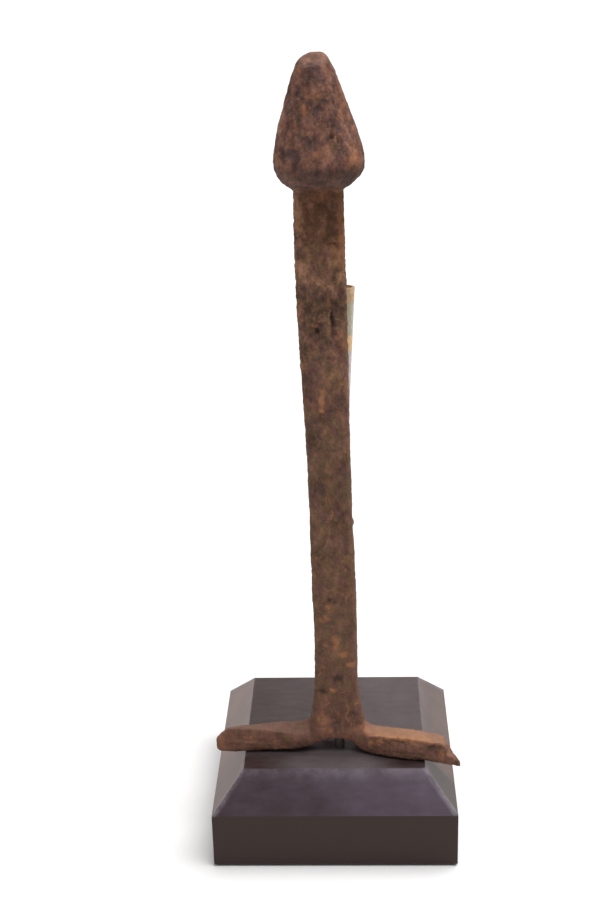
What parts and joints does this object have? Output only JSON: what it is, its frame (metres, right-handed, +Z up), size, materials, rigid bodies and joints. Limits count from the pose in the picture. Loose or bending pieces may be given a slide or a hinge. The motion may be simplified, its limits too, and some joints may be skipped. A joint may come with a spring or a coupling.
{
  "type": "rail spike",
  "caption": "Hand-forged rail spike with a tall head and a split, splayed point, on a bevelled display block with a sleeved support rod behind it.",
  "frame": {"origin": "the middle of the stand's underside, where the felt meets the table", "axes": "+Z up along the spike, -Y towards the front of the stand, +X to the viewer's right"},
  "size_m": [0.0774, 0.0762, 0.2447],
  "materials": {
    "rusted_iron": "pitted rust scale, matte",
    "black_lacquered_wood": "black lacquer, satin and rubbed cloudy",
    "felt": "felt",
    "rod_brass": "dull, drawn",
    "collar_brass": "dull, cut at the ends",
    "aged_vinyl": "cloudy, greened tube",
    "clear_vinyl": "cloudy clear tube",
    "zinc_steel": "zinc plated",
    "blackened_steel": "blackened"
  },
  "bodies": {
    "stand": {"base_block": "black_lacquered_wood", "felt_pad": "felt", "support_rod": "rod_brass", "upper_collar": "collar_brass", "upper_sleeve": "aged_vinyl", "lower_collar": "collar_brass", "lower_sleeve": "clear_vinyl", "rod_washer": "zinc_steel", "rod_nut": "zinc_steel", "locating_pin": "blackened_steel", "pin_washer": "zinc_steel", "pin_nut": "zinc_steel"},
    "spike": {"forged_spike": "rusted_iron"}
  },
  "joints": [
    {"name": "spike_lift", "type": "slide", "parent": "stand", "child": "spike", "axis": [0, 0, 1], "range_m": [0, 0.03]}
  ]
}
